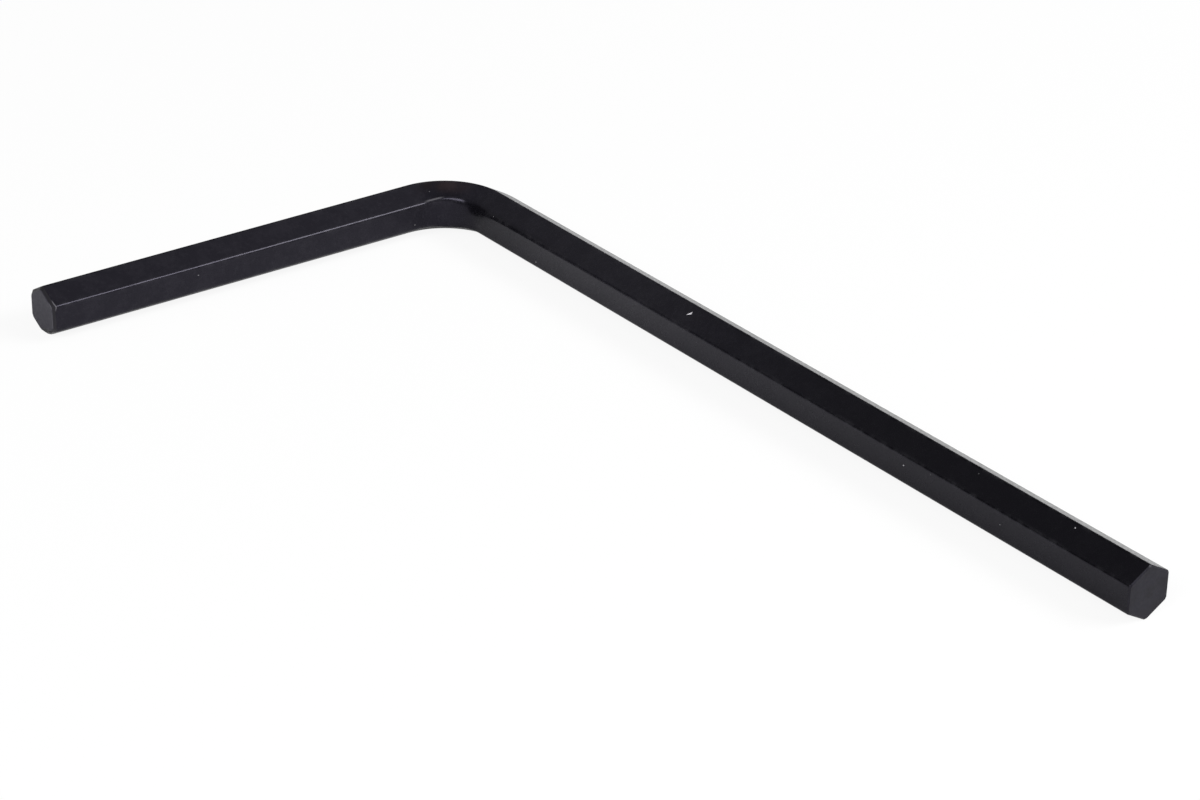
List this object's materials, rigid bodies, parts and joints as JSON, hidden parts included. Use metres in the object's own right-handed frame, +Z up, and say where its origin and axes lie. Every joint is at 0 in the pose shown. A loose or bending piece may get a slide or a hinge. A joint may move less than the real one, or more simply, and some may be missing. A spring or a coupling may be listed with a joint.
{
  "type": "hex key",
  "caption": "L-shaped hexagonal steel bar with a black finish, for turning screws and bolts that have a hexagon socket.",
  "frame": {"origin": "on the surface that the key lies on, below the middle of the rectangle that it takes up", "axes": "+X along the long arm towards its end face, short arm towards -Y, +Z up from the surface"},
  "size_m": [0.11, 0.055, 0.0057],
  "materials": {
    "black_steel": "black oxide on drawn steel, satin, with fine drawing lines, pale rubbed specks and a faint brown tint on the bend"
  },
  "bodies": {
    "root": {"hex_key": "black_steel"}
  },
  "joints": []
}
